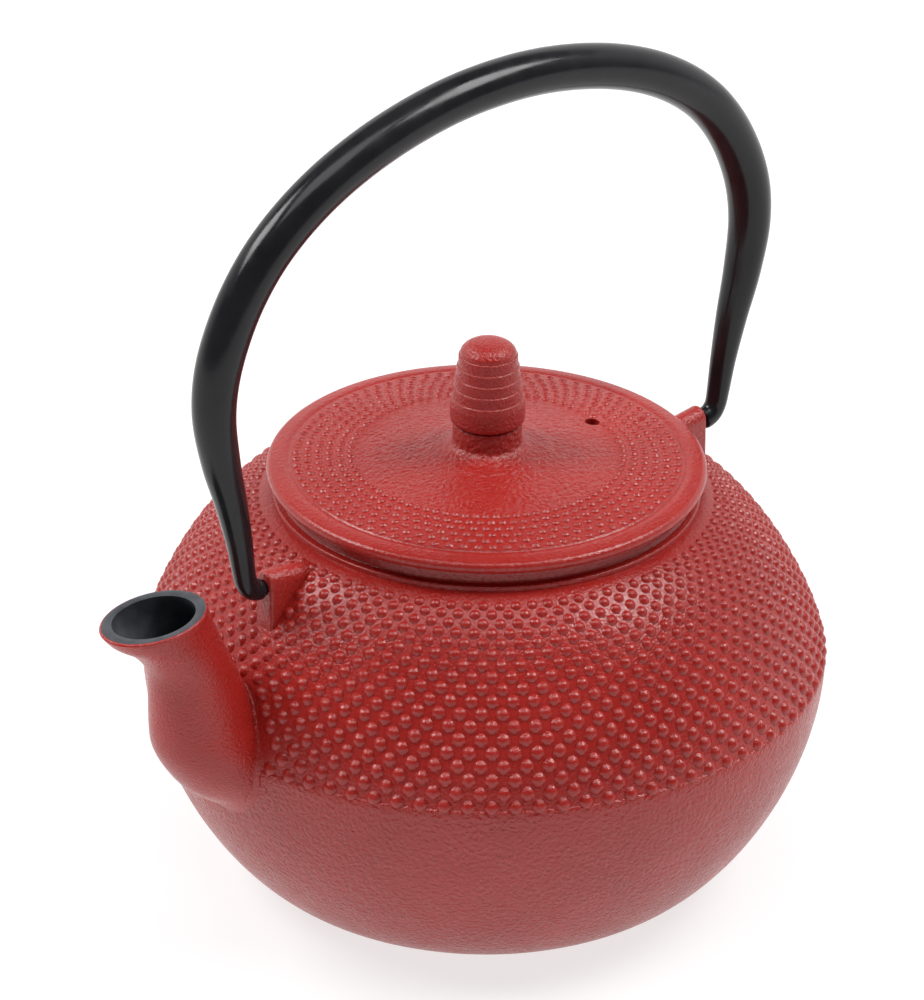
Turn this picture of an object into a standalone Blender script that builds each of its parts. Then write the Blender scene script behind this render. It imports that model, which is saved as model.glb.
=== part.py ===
"""Cast-iron teapot: spouted pot, hinged bail handle, lifting lid with a turned knob, basket infuser.

Metres. The origin is the centre of the flat base, +Z is up and +X points along the spout.
The handle swings about a line along X through the two lugs on the shoulder.
The pot is one casting with its spout. It is three solids here, split at the parting line and at the
spout's root, so that each keeps a simple hollow.
"""
from math import cos, pi, radians, sin, tan

import bmesh
import bpy

MM = 0.001
GAP = 0.3 * MM            # clearance between pieces that rest on each other
TURNS = 48                # sides of every large turned shape
SMALL_TURNS = 24          # sides of the small turned shapes
SMOOTH_ANGLE = radians(32)

# Pot: two quarter curves that meet at the widest ring, with a low collar round the mouth
BELLY_RADIUS = 85.0 * MM
BELLY_HEIGHT = 58.6 * MM
BASE_RADIUS = 52.5 * MM
WALL = 3.0 * MM
FLOOR = 3.5 * MM
COLLAR_RADIUS = 53.2 * MM
COLLAR_HEIGHT = 101.9 * MM
COLLAR_STEP = 1.2 * MM
NECK_RADIUS = 51.2 * MM
SEAT_HEIGHT = 106.4 * MM
REBATE_RADIUS = 48.6 * MM
REBATE_DEPTH = 1.8 * MM
MOUTH_RADIUS = 45.6 * MM
LOWER_POWERS = (1.78, 1.41)
UPPER_POWERS = (1.30, 1.54)
BELLY_STEPS = 11                        # spans in each quarter curve of the outside
HOLLOW_STEPS = 9
SMALL_EDGE = 0.3 * MM                   # chamfer on the collar, the neck and the knob

# Spout: level oval sections as (height, reach along X, half length, half width), millimetres
SPOUT_SECTIONS = (
    (40.0, 70.0, 10.0, 8.0),
    (44.0, 74.0, 12.0, 10.3),
    (50.0, 79.3, 14.8, 12.8),
    (56.0, 83.6, 15.4, 14.0),
    (63.0, 87.6, 15.2, 13.4),
    (70.0, 90.4, 13.6, 11.8),
    (78.0, 92.1, 12.2, 10.9),
    (86.0, 94.4, 10.9, 10.0),
    (93.0, 98.6, 11.6, 10.0),
    (98.0, 102.9, 13.6, 10.6),
    (101.4, 104.9, 14.3, 10.9),
)
SPOUT_SIDES = 28
SPOUT_WALL = 2.8 * MM
SPOUT_MOUTH = (11.0 * MM, 8.6 * MM)     # half length and half width of the hole in the lip
CHANNEL_FOOT = (46.0, 75.0, 8.5, 7.5)   # where the channel opens into the pot, as one more section
LIP_EDGE = (0.965, 0.955, 0.6 * MM)     # the lip's rounded edge: shrink along X, along Y, and rise
LIP_TILT = radians(5)

# Lugs: arched blocks whose outer face carries the hinge socket
LUG_FACE = 71.0 * MM
LUG_ROOT = 56.5 * MM
LUG_HALF_WIDTH = 3.0 * MM
LUG_SPREAD = 0.4 * MM                   # how much wider each side is at the foot
LUG_FOOT = 82.0 * MM
LUG_ARCH = 99.8 * MM                    # height of the centre of the round top
HINGE_HEIGHT = 98.6 * MM
SOCKET_RADIUS = 2.0 * MM
SOCKET_DEPTH = 7.0 * MM
SOCKET_SIDES = 20
LUG_EDGE = 0.6 * MM
ARCH_STEPS = 8

# Bail handle: half of its centre line as (X, Z, tube radius), millimetres, pin to crown
HANDLE_HALF = (
    (64.8, 98.6, 1.6), (68.0, 98.6, 1.6), (70.2, 98.6, 1.6), (71.4, 98.6, 1.6),
    (72.1, 98.6, 2.5), (73.2, 98.8, 2.75), (75.0, 99.7, 2.75), (76.4, 101.8, 2.75),
    (77.2, 105.6, 2.9), (78.6, 114.0, 3.3), (81.0, 125.0, 4.0), (84.2, 137.5, 4.8),
    (86.1, 151.0, 5.4), (84.2, 164.0, 5.7), (77.8, 178.0, 5.7), (68.0, 189.8, 5.7),
    (54.0, 199.6, 5.7), (37.0, 206.7, 5.7), (18.0, 211.1, 5.7), (0.0, 212.4, 5.7),
)
HANDLE_WALL = 1.2 * MM
HANDLE_SIDES = 12
HANDLE_STEPS = 2                        # points between two neighbours of the centre line

# Lid: shallow cone with a thick round rim, a spigot and a raised boss under the knob
LID_RADIUS = 54.6 * MM
LID_RIM_TOP = 110.4 * MM
LID_RIM_ROUND = 1.5 * MM
LID_RIM_DROP = 0.35 * MM                # how far the rounded edge starts below the rim's top
LID_UNDERSIDE = SEAT_HEIGHT + GAP
LID_SEAT_RADIUS = 51.6 * MM             # outer edge of the flat ring that meets the neck
LID_BOSS_RADIUS = 8.6 * MM
LID_BOSS_TOP = 121.3 * MM
LID_BOSS_EDGE = 0.4 * MM
LID_CROWN = 114.2 * MM                  # height where the boss flares out of the cone
LID_FLARE = (5.4 * MM, 2.6 * MM)        # width and height of the flare at the foot of the boss
LID_SLOPE = ((30.0, 112.6), (48.6, 110.8), (49.4, 110.5), (51.5, 110.4))    # top, boss to rim, mm
SPIGOT_RADIUS = 43.2 * MM
SPIGOT_INNER = 40.9 * MM
SPIGOT_BOTTOM = 100.0 * MM
SPIGOT_LEAD = 1.0 * MM
WASHER_SEAT = 114.6 * MM                # ceiling of the pocket that holds the screw and its washer
LID_CEILING = ((40.9, 107.2), (30.0, 109.4), (13.0, 111.0), (6.6, 111.6), (6.2, 114.6))     # mm
VENT_RADIUS = 1.9 * MM
VENT_SIDES = 16
VENT_PLACE = (-31.2 * MM, 3.9 * MM)
VENT_LENGTH = 10.0 * MM
SCREW_HOLE = 2.4 * MM

# Knob: five terraces on a tapering stem with a plain band at the foot
KNOB_FOOT = LID_BOSS_TOP + GAP
KNOB_TERRACES = 5
TERRACE_PITCH = 2.85 * MM
TERRACE_START = (7.35 * MM, 139.8 * MM)  # radius and height of the highest terrace edge
TERRACE_TAPER = 0.42 * MM
TERRACE_EDGE = (0.28 * MM, 0.22 * MM)
KNOB_CAP = ((0.0, 143.2), (3.6, 142.95), (5.6, 142.3), (6.9, 141.1))    # rounded top, mm
KNOB_BAND_RADIUS = 9.3 * MM
KNOB_BAND = (127.0 * MM, 123.3 * MM)    # top and bottom of the plain band
KNOB_TUCK = (0.4 * MM, 122.2 * MM)      # the band draws in by this much at this height
KNOB_BORE_DEPTH = 11.8 * MM

# Screw and washer that hold the knob, fitted from inside the lid
SCREW_SHANK = 1.9 * MM
SCREW_LENGTH = 17.0 * MM
SCREW_TIP = (0.4 * MM, 0.5 * MM)        # chamfer on the screw's end: across and along
SCREW_HEAD = 3.9 * MM
HEAD_HEIGHT = 2.2 * MM
HEAD_SIDE = 1.0 * MM                    # straight part of the head's side
HEAD_DOME = ((3.2 * MM, 0.3 * MM), (2.0 * MM, 0.0))
SCREW_SLOT = (1.0 * MM, 1.1 * MM)       # width and depth
WASHER_RADIUS = 5.2 * MM
WASHER_SHEET = 0.8 * MM

# Basket infuser
BASKET_RADIUS = 44.3 * MM
BASKET_WALL = 0.5 * MM
BASKET_FOOT = 55.8 * MM
FLANGE_RADIUS = 48.2 * MM
SHEET = 0.6 * MM                        # rim sheet
SKIRT_DEPTH = 7.0 * MM
BAND_HEIGHT = 5.0 * MM
BAND_SHEET = 0.4 * MM
BAND_LIP_RADIUS = 41.5 * MM             # inner edge of the lip that the floor disc rests on

# Colours and surfaces as (red, green, blue), metallic, roughness
RED_ENAMEL = ((0.46, 0.035, 0.03), 0.0, 0.42)
BLACK_ENAMEL = ((0.012, 0.012, 0.014), 0.0, 0.28)
STEEL = ((0.62, 0.62, 0.63), 1.0, 0.3)


def clear_scene():
    for obj in list(bpy.data.objects):
        bpy.data.objects.remove(obj, do_unlink=True)


def give_material(obj, colours):
    base, metallic, roughness = colours
    material = bpy.data.materials.new(obj.name + "_material")
    material.use_nodes = True
    shader = material.node_tree.nodes["Principled BSDF"]
    shader.inputs["Base Color"].default_value = (*base, 1.0)
    shader.inputs["Metallic"].default_value = metallic
    shader.inputs["Roughness"].default_value = roughness
    obj.data.materials.append(material)


def make_object(name, bm, colours=None):
    """Turn a bmesh into a named object; without colours it is a hidden shaping helper."""
    bmesh.ops.recalc_face_normals(bm, faces=bm.faces)
    mesh = bpy.data.meshes.new(name)
    bm.to_mesh(mesh)
    bm.free()
    mesh.shade_smooth()
    mesh.set_sharp_from_angle(angle=SMOOTH_ANGLE)
    obj = bpy.data.objects.new(name, mesh)
    bpy.context.scene.collection.objects.link(obj)
    if colours:
        give_material(obj, colours)
    else:
        obj.hide_render = True
        obj.display_type = "WIRE"
    return obj


def turned(name, outline, colours=None, steps=TURNS, ring=True):
    """Spin an outline of (radius, height) points about Z; a ring outline closes on itself."""
    bm = bmesh.new()
    verts = [bm.verts.new((radius, 0.0, height)) for radius, height in outline]
    pairs = list(zip(verts, verts[1:]))
    if ring:
        pairs.append((verts[-1], verts[0]))
    edges = [bm.edges.new(pair) for pair in pairs]
    bmesh.ops.spin(bm, geom=verts + edges, cent=(0, 0, 0), axis=(0, 0, 1),
                   angle=2 * pi, steps=steps, use_merge=True)
    bmesh.ops.remove_doubles(bm, verts=bm.verts, dist=0.001 * MM)
    return make_object(name, bm, colours)


def lofted(name, rings, colours=None, closed=False):
    """Skin a list of rings that hold equally many points; open lofts get flat end caps."""
    bm = bmesh.new()
    loops = [[bm.verts.new(point) for point in ring] for ring in rings]
    pairs = list(zip(loops, loops[1:]))
    if closed:
        pairs.append((loops[-1], loops[0]))
    for low, high in pairs:
        for i in range(len(low)):
            j = (i + 1) % len(low)
            bm.faces.new((low[i], low[j], high[j], high[i]))
    if not closed:
        bm.faces.new(loops[0])
        bm.faces.new(loops[-1])
    return make_object(name, bm, colours)


def block(name, low, high):
    """Axis-aligned helper block between two corners."""
    bm = bmesh.new()
    bmesh.ops.create_cube(bm, size=1.0)
    for vert in bm.verts:
        vert.co = [low[i] + (vert.co[i] + 0.5) * (high[i] - low[i]) for i in range(3)]
    return make_object(name, bm)


def boolean(obj, helper, operation):
    modifier = obj.modifiers.new(helper.name, "BOOLEAN")
    modifier.operation = operation
    modifier.solver = "EXACT"
    modifier.object = helper


def quarter_curve(inner, outer, middle, end, powers, count):
    """Points from the widest ring to one end of the belly, evenly spread along the curve."""
    points = []
    for i in range(count + 1):
        t = sin(i / count * pi / 2)
        radius = inner + (outer - inner) * max(1 - t ** powers[0], 0) ** (1 / powers[1])
        points.append((radius, middle + (end - middle) * t))
    return points


def between(points, steps):
    """Smooth points through a list of tuples (Catmull-Rom), with steps spans in each gap."""
    ends = [points[0]] + list(points) + [points[-1]]
    result = []
    for a, b, c, d in zip(ends, ends[1:], ends[2:], ends[3:]):
        for step in range(steps):
            t = step / steps
            result.append(tuple(
                0.5 * (2 * q + (r - p) * t + (2 * p - 5 * q + 4 * r - s) * t ** 2
                       + (3 * q - p - 3 * r + s) * t ** 3)
                for p, q, r, s in zip(a, b, c, d)))
    result.append(tuple(points[-1]))
    return result


# ---------------------------------------------------------------- pot and spout

def outer_curves(stand_off):
    """The pot's outside below and above its widest ring, moved out by stand_off."""
    outer = BELLY_RADIUS + stand_off
    lower = quarter_curve(BASE_RADIUS + stand_off, outer, BELLY_HEIGHT, 0.0, LOWER_POWERS, BELLY_STEPS)
    upper = quarter_curve(COLLAR_RADIUS + stand_off, outer, BELLY_HEIGHT, COLLAR_HEIGHT + stand_off,
                          UPPER_POWERS, BELLY_STEPS)
    return lower, upper


def collar_outline():
    """From the axis out over the seat and the neck to the collar's edge."""
    step_top = COLLAR_HEIGHT + COLLAR_STEP
    return [(0.0, SEAT_HEIGHT), (NECK_RADIUS - SMALL_EDGE, SEAT_HEIGHT),
            (NECK_RADIUS, SEAT_HEIGHT - SMALL_EDGE),
            (NECK_RADIUS, step_top + 0.7 * MM), (NECK_RADIUS + 0.5 * MM, step_top + 0.1 * MM),
            (COLLAR_RADIUS - SMALL_EDGE, step_top), (COLLAR_RADIUS, step_top - SMALL_EDGE)]


def inner_curves():
    inner = BELLY_RADIUS - WALL
    top = COLLAR_HEIGHT - WALL
    lower = quarter_curve(BASE_RADIUS - WALL, inner, BELLY_HEIGHT, FLOOR, LOWER_POWERS, HOLLOW_STEPS)
    upper = quarter_curve(MOUTH_RADIUS, inner, BELLY_HEIGHT, top, UPPER_POWERS, HOLLOW_STEPS)
    return lower, upper


def pot_hollow():
    lower, upper = inner_curves()
    rebate = SEAT_HEIGHT - REBATE_DEPTH
    outline = [(0.0, SEAT_HEIGHT + MM), (REBATE_RADIUS, SEAT_HEIGHT + MM),
               (REBATE_RADIUS, rebate), (MOUTH_RADIUS, rebate)]
    outline += upper[::-1] + lower[1:] + [(0.0, FLOOR)]
    return turned("pot_hollow_cutter", outline, ring=False)


def pot_lower():
    """Plain bowl below the parting line."""
    seam = BELLY_HEIGHT - GAP / 2
    outside, inside = outer_curves(0.0)[0], inner_curves()[0]
    outline = [(0.0, FLOOR)] + inside[:0:-1] + [(inside[0][0], seam), (outside[0][0], seam)]
    outline += outside[1:] + [(0.0, 0.0)]
    return turned("pot_lower", outline, RED_ENAMEL, ring=False)


def pot_upper():
    """Shoulder, collar and neck above the parting line, still solid inside."""
    seam = BELLY_HEIGHT + GAP / 2
    upper = outer_curves(0.0)[1]
    outline = collar_outline() + upper[:0:-1] + [(upper[0][0], seam), (0.0, seam)]
    return turned("pot_upper", outline, RED_ENAMEL, ring=False)


def spout_seat():
    """The pot's whole outside, a gap larger, where the spout's root ends."""
    lower, upper = outer_curves(GAP)
    outline = collar_outline() + upper[::-1] + lower[1:] + [(0.0, 0.0)]
    return turned("spout_seat_cutter", outline, ring=False)


def oval(height, reach, half_length, half_width, tilt):
    ring = []
    for i in range(SPOUT_SIDES):
        angle = 2 * pi * i / SPOUT_SIDES
        x = half_length * cos(angle)
        ring.append((reach + x, half_width * sin(angle), height - x * tan(tilt)))
    return ring


def lip_share(height):
    """How far up the flare below the lip a section lies, from 0 to 1."""
    flare_foot = SPOUT_SECTIONS[-4][0] * MM
    lip = SPOUT_SECTIONS[-1][0] * MM
    return min(max((height - flare_foot) / (lip - flare_foot), 0.0), 1.0)


def spout_outside():
    sections = [tuple(value * MM for value in section) for section in SPOUT_SECTIONS]
    rings = [oval(*section, LIP_TILT * lip_share(section[0])) for section in between(sections, 2)]
    centre = sections[-1][1]
    along, across, rise = LIP_EDGE
    edge = [(centre + (x - centre) * along, y * across, z + rise) for x, y, z in rings[-1]]
    return lofted("spout", rings + [edge], RED_ENAMEL)


def spout_channel():
    foot = tuple(value * MM for value in CHANNEL_FOOT)
    sections = [foot]
    for section in SPOUT_SECTIONS:
        height, reach, length, width = (value * MM for value in section)
        if height > foot[0]:
            share = lip_share(height) ** 2
            length += (SPOUT_MOUTH[0] - length) * share - SPOUT_WALL * (1 - share)
            width += (SPOUT_MOUTH[1] - width) * share - SPOUT_WALL * (1 - share)
            sections.append((height, reach, length, width))
    above = (sections[-1][0] + 3 * MM, *sections[-1][1:])
    rings = [oval(*section, LIP_TILT * lip_share(section[0]))
             for section in between(sections, 2) + [above]]
    return lofted("spout_channel_cutter", rings)


def lug(name, side):
    """Arched block along X; side is 1 at the spout and -1 opposite."""
    arch = [(LUG_HALF_WIDTH + LUG_SPREAD, LUG_FOOT)]
    for i in range(ARCH_STEPS + 1):
        angle = pi * i / ARCH_STEPS
        arch.append((LUG_HALF_WIDTH * cos(angle), LUG_ARCH + LUG_HALF_WIDTH * sin(angle)))
    arch.append((-LUG_HALF_WIDTH - LUG_SPREAD, LUG_FOOT))
    inset = [(y * 0.9, LUG_FOOT + (z - LUG_FOOT) * 0.97) for y, z in arch]
    rings = [[(side * LUG_ROOT, y, z) for y, z in arch],
             [(side * (LUG_FACE - LUG_EDGE), y, z) for y, z in arch],
             [(side * LUG_FACE, y, z) for y, z in inset]]
    return lofted(name, rings)


def socket_cutter(name, side):
    rings = []
    for x in (LUG_FACE - SOCKET_DEPTH, LUG_FACE + 2 * MM):
        angles = [2 * pi * i / SOCKET_SIDES for i in range(SOCKET_SIDES)]
        rings.append([(side * x, SOCKET_RADIUS * cos(angle), HINGE_HEIGHT + SOCKET_RADIUS * sin(angle))
                      for angle in angles])
    return lofted(name, rings)


def build_pot():
    channel = spout_channel()
    lower = pot_lower()
    boolean(lower, channel, "DIFFERENCE")
    upper = pot_upper()
    for name, side in (("front", 1), ("rear", -1)):
        boolean(upper, lug(name + "_lug_helper", side), "UNION")
    boolean(upper, pot_hollow(), "DIFFERENCE")
    boolean(upper, channel, "DIFFERENCE")
    for name, side in (("front", 1), ("rear", -1)):
        boolean(upper, socket_cutter(name + "_socket_cutter", side), "DIFFERENCE")
    spout = spout_outside()
    boolean(spout, spout_seat(), "DIFFERENCE")
    boolean(spout, channel, "DIFFERENCE")


# ---------------------------------------------------------------- handle

def tube_rings(path, shrink):
    rings = []
    for i, (x, z, radius) in enumerate(path):
        before = path[max(i - 1, 0)]
        after = path[min(i + 1, len(path) - 1)]
        run, rise = after[0] - before[0], after[1] - before[1]
        length = (run ** 2 + rise ** 2) ** 0.5
        normal = (-rise / length, run / length)
        size = radius - shrink(radius)
        ring = []
        for k in range(HANDLE_SIDES):
            angle = 2 * pi * k / HANDLE_SIDES
            out = size * cos(angle)
            ring.append((x + normal[0] * out, size * sin(angle), z + normal[1] * out))
        rings.append(ring)
    return rings


def build_handle():
    """Tapering tube whose ends turn inwards and sit in the lug sockets."""
    half = [tuple(value * MM for value in point) for point in HANDLE_HALF]
    centre_line = half + [(-x, z, radius) for x, z, radius in half[-2::-1]]
    path = between(centre_line, HANDLE_STEPS)
    outside = tube_rings(path, lambda radius: 0.0)
    inside = tube_rings(path, lambda radius: min(HANDLE_WALL, 0.45 * radius))
    handle = lofted("bail_handle", outside + inside[::-1], BLACK_ENAMEL, closed=True)
    pivot = (0.0, 0.0, HINGE_HEIGHT)
    for vert in handle.data.vertices:
        vert.co.z -= HINGE_HEIGHT
    handle.location = pivot


# ---------------------------------------------------------------- lid and knob

def build_lid():
    flare_width, flare_height = LID_FLARE
    outline = [(SCREW_HOLE, LID_BOSS_TOP), (LID_BOSS_RADIUS - LID_BOSS_EDGE, LID_BOSS_TOP),
               (LID_BOSS_RADIUS, LID_BOSS_TOP - LID_BOSS_EDGE)]
    for i in range(6):
        angle = pi / 2 * i / 5
        outline.append((LID_BOSS_RADIUS + flare_width * (1 - cos(angle)),
                        LID_CROWN + flare_height * (1 - sin(angle))))
    outline += [(radius * MM, height * MM) for radius, height in LID_SLOPE]
    for i in range(6):
        angle = pi / 2 * (1 - i / 2.5)
        outline.append((LID_RADIUS - LID_RIM_ROUND * (1 - cos(angle)),
                        LID_RIM_TOP - LID_RIM_DROP - LID_RIM_ROUND * (1 - sin(angle))))
    outline += [(LID_SEAT_RADIUS, LID_UNDERSIDE), (SPIGOT_RADIUS + SPIGOT_LEAD, LID_UNDERSIDE),
                (SPIGOT_RADIUS, LID_UNDERSIDE - SPIGOT_LEAD), (SPIGOT_RADIUS, SPIGOT_BOTTOM),
                (SPIGOT_INNER, SPIGOT_BOTTOM)]
    outline += [(radius * MM, height * MM) for radius, height in LID_CEILING]
    outline.append((SCREW_HOLE, WASHER_SEAT))
    lid = turned("lid", outline, RED_ENAMEL)
    bm = bmesh.new()
    bmesh.ops.create_cone(bm, cap_ends=True, segments=VENT_SIDES, radius1=VENT_RADIUS,
                          radius2=VENT_RADIUS, depth=VENT_LENGTH)
    cutter = make_object("vent_cutter", bm)
    cutter.location = (*VENT_PLACE, LID_RIM_TOP + MM)
    boolean(lid, cutter, "DIFFERENCE")


def build_knob():
    hole_top = KNOB_FOOT + KNOB_BORE_DEPTH
    hole = SCREW_SHANK + GAP
    outline = [(radius * MM, height * MM) for radius, height in KNOB_CAP]
    radius, height = TERRACE_START
    for i in range(KNOB_TERRACES):
        edge = radius + TERRACE_TAPER * i
        level = height - TERRACE_PITCH * i
        outline += [(edge - TERRACE_EDGE[0], level), (edge, level - TERRACE_EDGE[1])]
    outline += [(KNOB_BAND_RADIUS, KNOB_BAND[0]), (KNOB_BAND_RADIUS, KNOB_BAND[1]),
                (KNOB_BAND_RADIUS - KNOB_TUCK[0], KNOB_TUCK[1]),
                (LID_BOSS_RADIUS - SMALL_EDGE, KNOB_FOOT),
                (hole, KNOB_FOOT), (hole, hole_top), (0.0, hole_top)]
    turned("lid_knob", outline, RED_ENAMEL, steps=SMALL_TURNS, ring=False)


def build_knob_fixing():
    washer_top = WASHER_SEAT - GAP
    washer_low = washer_top - WASHER_SHEET
    turned("knob_washer", [(SCREW_SHANK + GAP, washer_top), (WASHER_RADIUS, washer_top),
                           (WASHER_RADIUS, washer_low), (SCREW_SHANK + GAP, washer_low)],
           STEEL, steps=SMALL_TURNS)
    head_top = washer_low - GAP
    head_low = head_top - HEAD_HEIGHT
    top = head_top + SCREW_LENGTH
    outline = [(0.0, top), (SCREW_SHANK - SCREW_TIP[0], top), (SCREW_SHANK, top - SCREW_TIP[1]),
               (SCREW_SHANK, head_top), (SCREW_HEAD, head_top), (SCREW_HEAD, head_top - HEAD_SIDE)]
    outline += [(radius, head_low + rise) for radius, rise in HEAD_DOME] + [(0.0, head_low)]
    screw = turned("knob_screw", outline, STEEL, steps=SMALL_TURNS, ring=False)
    width, depth = SCREW_SLOT
    slot = block("screw_slot_cutter", (-WASHER_RADIUS, -width / 2, head_low - MM),
                 (WASHER_RADIUS, width / 2, head_low + depth))
    boolean(screw, slot, "DIFFERENCE")


# ---------------------------------------------------------------- infuser

def build_infuser():
    """Pressed rim, rolled wall, clamping band and floor disc of the lift-out basket."""
    inner = BASKET_RADIUS - BASKET_WALL
    skirt = BASKET_RADIUS + GAP
    flange_low = SEAT_HEIGHT - REBATE_DEPTH + GAP
    flange_top = flange_low + SHEET
    skirt_low = flange_low - SKIRT_DEPTH
    turned("infuser_rim", [(inner, flange_top), (FLANGE_RADIUS, flange_top),
                           (FLANGE_RADIUS, flange_low), (skirt + SHEET, flange_low),
                           (skirt + SHEET, skirt_low), (skirt, skirt_low),
                           (skirt, flange_low), (inner, flange_low)], STEEL)
    wall_top = flange_low - GAP
    wall_low = BASKET_FOOT + SHEET + 3 * GAP
    turned("infuser_wall", [(inner, wall_top), (BASKET_RADIUS, wall_top),
                            (BASKET_RADIUS, wall_low), (inner, wall_low)], STEEL)
    band_top = BASKET_FOOT + BAND_HEIGHT
    shelf = BASKET_FOOT + BAND_SHEET
    turned("infuser_band", [(skirt, band_top), (skirt + BAND_SHEET, band_top),
                            (skirt + BAND_SHEET, BASKET_FOOT), (BAND_LIP_RADIUS, BASKET_FOOT),
                            (BAND_LIP_RADIUS, shelf), (skirt, shelf)], STEEL)
    disc_low = shelf + GAP
    disc_top = disc_low + BAND_SHEET
    turned("infuser_floor", [(0.0, disc_top), (BASKET_RADIUS, disc_top),
                             (BASKET_RADIUS, disc_low), (0.0, disc_low)], STEEL, ring=False)


def main():
    clear_scene()
    build_pot()
    build_handle()
    build_lid()
    build_knob()
    build_knob_fixing()
    build_infuser()


main()
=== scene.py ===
"""Looks of the cast-iron teapot: hobnail casting, lid, knob, bail handle, basket infuser, studio.

Metres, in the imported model's frame: +Z up, +X along the spout, origin at the centre of the base.
"""

from math import cos, hypot, pi, radians, sin, tan

import bmesh
import bpy
from mathutils import Matrix, Vector


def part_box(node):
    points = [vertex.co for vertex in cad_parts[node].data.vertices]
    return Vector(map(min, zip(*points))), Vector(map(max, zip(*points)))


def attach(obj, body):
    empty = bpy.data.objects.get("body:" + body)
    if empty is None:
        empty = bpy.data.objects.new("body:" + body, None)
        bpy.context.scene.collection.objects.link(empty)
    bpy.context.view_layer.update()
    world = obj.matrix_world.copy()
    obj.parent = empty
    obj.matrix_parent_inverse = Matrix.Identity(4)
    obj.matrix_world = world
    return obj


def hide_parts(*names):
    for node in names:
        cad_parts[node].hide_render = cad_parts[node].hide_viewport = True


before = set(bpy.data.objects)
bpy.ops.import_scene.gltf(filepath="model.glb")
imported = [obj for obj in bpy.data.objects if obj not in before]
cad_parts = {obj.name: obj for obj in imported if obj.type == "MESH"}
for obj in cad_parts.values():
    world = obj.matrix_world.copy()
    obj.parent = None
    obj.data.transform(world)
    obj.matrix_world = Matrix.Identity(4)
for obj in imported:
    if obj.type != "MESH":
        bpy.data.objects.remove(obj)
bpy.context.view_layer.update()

MM = 0.001
SMOOTH_ANGLE = radians(38)
DOME_ANGLE = radians(60)

# Pot outline, as the CAD has it
BELLY_RADIUS = 85.0 * MM
BELLY_HEIGHT = 58.6 * MM
BASE_RADIUS = 52.5 * MM
WALL = 3.0 * MM
FLOOR = 3.5 * MM
COLLAR_RADIUS = 53.2 * MM
COLLAR_HEIGHT = 101.9 * MM
COLLAR_TOP = 103.1 * MM
NECK_RADIUS = 51.2 * MM
SEAT_HEIGHT = 106.4 * MM
REBATE_RADIUS = 48.6 * MM
REBATE_DEPTH = 1.8 * MM
MOUTH_RADIUS = 45.6 * MM
LOWER_POWERS = (1.78, 1.41)
UPPER_POWERS = (1.30, 1.54)
POT_NODES = ("pot_lower", "pot_upper")
SHELL_TURNS = 224
SHELL_STEPS = 44
PARTING_STEP = 0.6 * MM                 # how far the plain lower half stands proud of the upper one
PARTING_LEDGE = ((PARTING_STEP - 0.12 * MM, 0.22 * MM), (0.02 * MM, 0.5 * MM))  # out, up from the belly
FOOT = ((46.0, 0.9), (47.0, 0.25), (47.4, 0.0), (50.9, 0.0), (52.0, 0.3))  # recess and edge of the base, mm
EDGE_ROOM = 0.8 * MM                    # how far the curved walls stop short of a rounded edge
COLLAR_EDGE = 0.45 * MM
NECK_FILLET = ((0.3 * MM, 0.2 * MM), (0.0, 0.8 * MM))   # out from the neck, up from the collar
INSIDE_STEPS = 24

# Hobnails: staggered rows of small domes on the upper half
NAILS_PER_ROW = 92
NAIL_START = 1.15 * MM
NAIL_ROW_STEP = 0.585                   # row spacing as a share of the pitch in the row
NAIL_BASE = 0.335                       # base radius as a share of the pitch
NAIL_HEIGHT = 0.175                     # height as a share of the pitch
NAIL_SIDES = 14
NAIL_PROFILE = ((1.06, -0.30), (1.0, 0.02), (0.86, 0.24), (0.68, 0.56), (0.44, 0.84), (0.2, 0.97))

# Spout: level oval sections as (height, reach along X, half length, half width), millimetres
SPOUT_SECTIONS = (
    (40.0, 70.0, 10.0, 8.0),
    (44.0, 74.0, 12.0, 10.3),
    (50.0, 79.3, 14.8, 12.8),
    (56.0, 83.6, 15.4, 14.0),
    (63.0, 87.6, 15.2, 13.4),
    (70.0, 90.4, 13.6, 11.8),
    (78.0, 92.1, 12.2, 10.9),
    (86.0, 94.4, 10.9, 10.0),
    (93.0, 98.6, 11.6, 10.0),
    (98.0, 102.9, 13.6, 10.6),
    (101.4, 104.9, 14.3, 10.9),
)
SPOUT_SIDES = 72
SPOUT_STEPS = 5
SPOUT_WALL = 2.8 * MM
SPOUT_MOUTH = (11.0 * MM, 8.6 * MM)
SPOUT_STATIONS = 40                     # rings from the fillet to the lip
BORE_STATIONS = 26
FILLET_STEPS = 8
FILLET_SINK = 0.06 * MM                 # how far the fillet's rim dips under the pot's surface
FILLET_SIZES = (4.2 * MM, 1.3 * MM)     # below the belly, and on the shoulder
FILLET_SPAN = (54 * MM, 66 * MM)        # heights between which the size changes
LIP_EDGES = ((0.995, 0.993, 0.28 * MM), (0.982, 0.977, 0.5 * MM), (0.965, 0.955, 0.6 * MM))
LIP_RISE = 0.5 * MM
MOUTH_EDGE = (1.035, 0.1 * MM)          # growth and rise of the ring round the mouth
BORE_SINK = 1.4 * MM                    # how deep under the pot's surface the bore begins
CHANNEL_FOOT = (46.0, 75.0, 8.5, 7.5)   # where the channel opens into the pot, as one more section
CHANNEL_GROWTH = 0.1 * MM               # how much wider than the bore the hole in the pot is cut
LIP_TILT = radians(5)

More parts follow.
